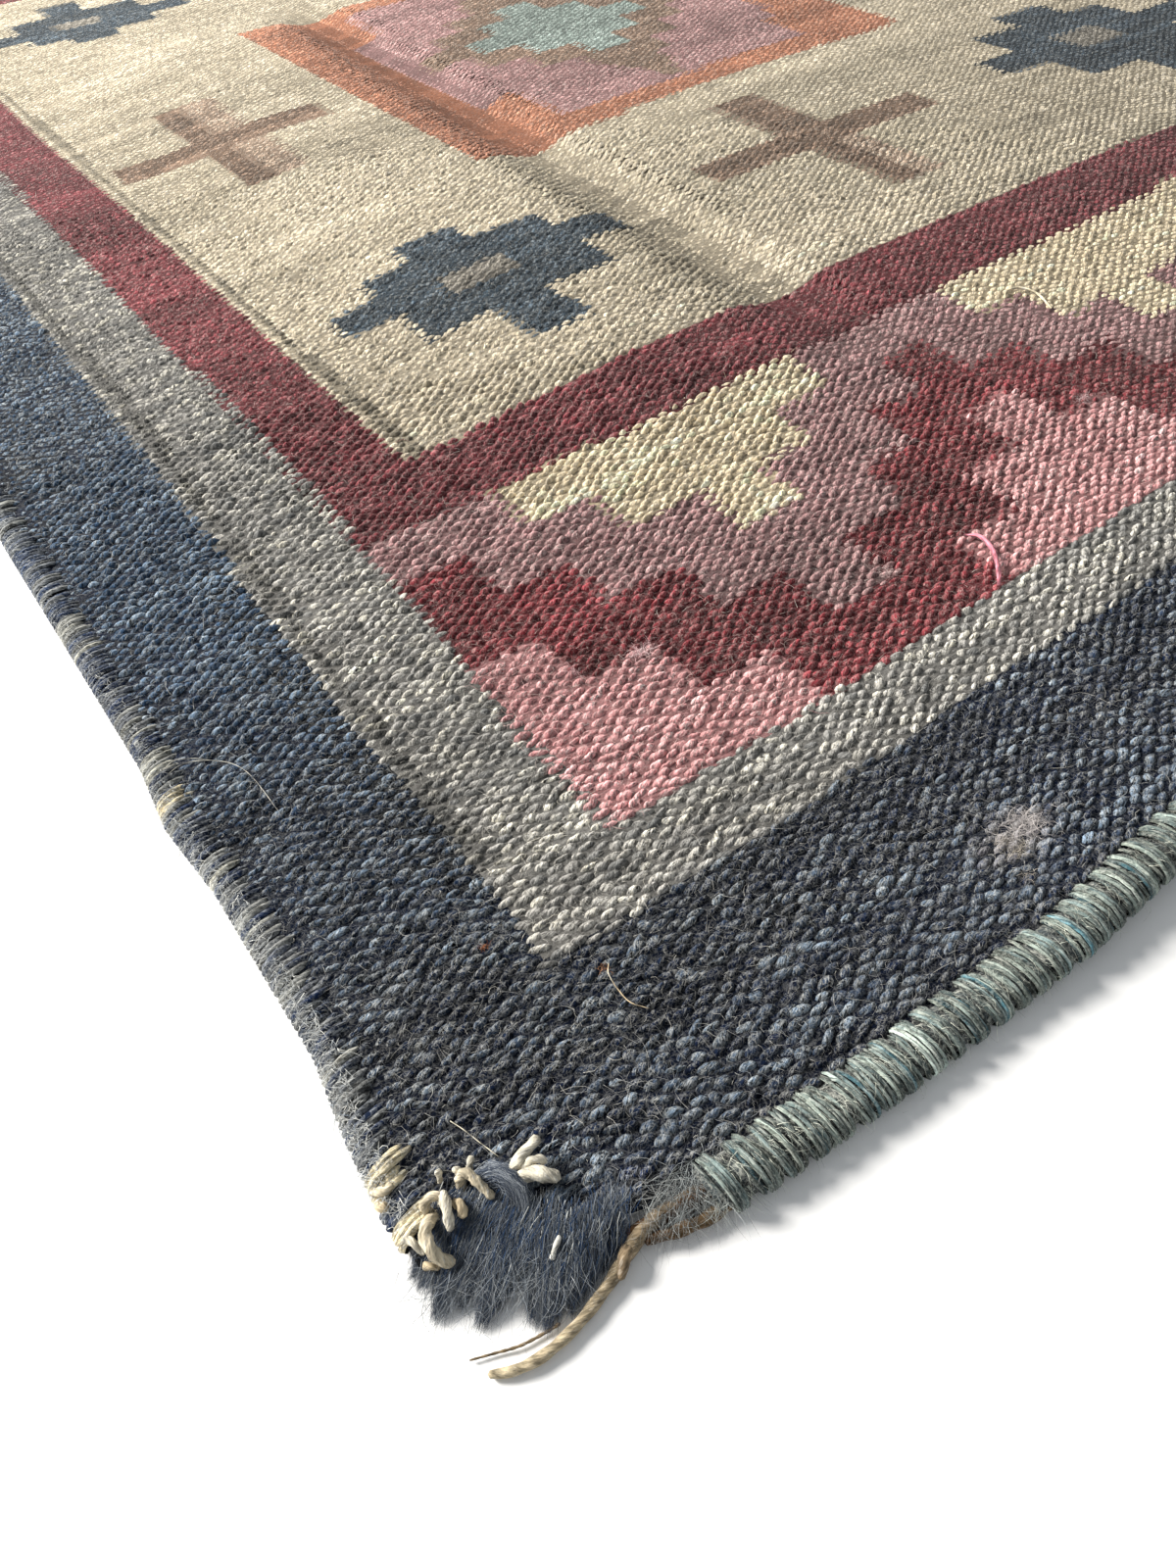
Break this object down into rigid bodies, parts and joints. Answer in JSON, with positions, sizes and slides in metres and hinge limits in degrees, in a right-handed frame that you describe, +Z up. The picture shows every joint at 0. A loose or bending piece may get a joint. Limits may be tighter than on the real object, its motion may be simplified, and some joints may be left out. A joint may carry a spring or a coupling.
{
  "type": "kilim rug",
  "caption": "Flat-woven wool rug with stepped geometric pattern, overcast ends and one worn corner with loose warp and weft ends.",
  "frame": {"origin": "on the floor under the middle of the rug", "axes": "+X along the bound ends, +Y along the selvedges towards the end without the worn corner, +Z up from the floor"},
  "size_m": [0.8584, 1.215, 0.01],
  "materials": {
    "woven_wool": "hand-spun wool in a weft-faced weave, indigo, grey, maroon, ecru, pink, mauve and brown areas",
    "overcast_wool": "grey-green wool yarn whipped in close turns, fuzzy",
    "cotton_warp": "plied undyed cotton, worn",
    "loose_wool": "unspun blue-grey wool in soft locks"
  },
  "bodies": {
    "root": {"rug_cloth": "woven_wool", "end_binding_near": "overcast_wool", "end_binding_far": "overcast_wool", "warp_ends": "cotton_warp", "wool_tuft": "loose_wool"}
  },
  "joints": []
}
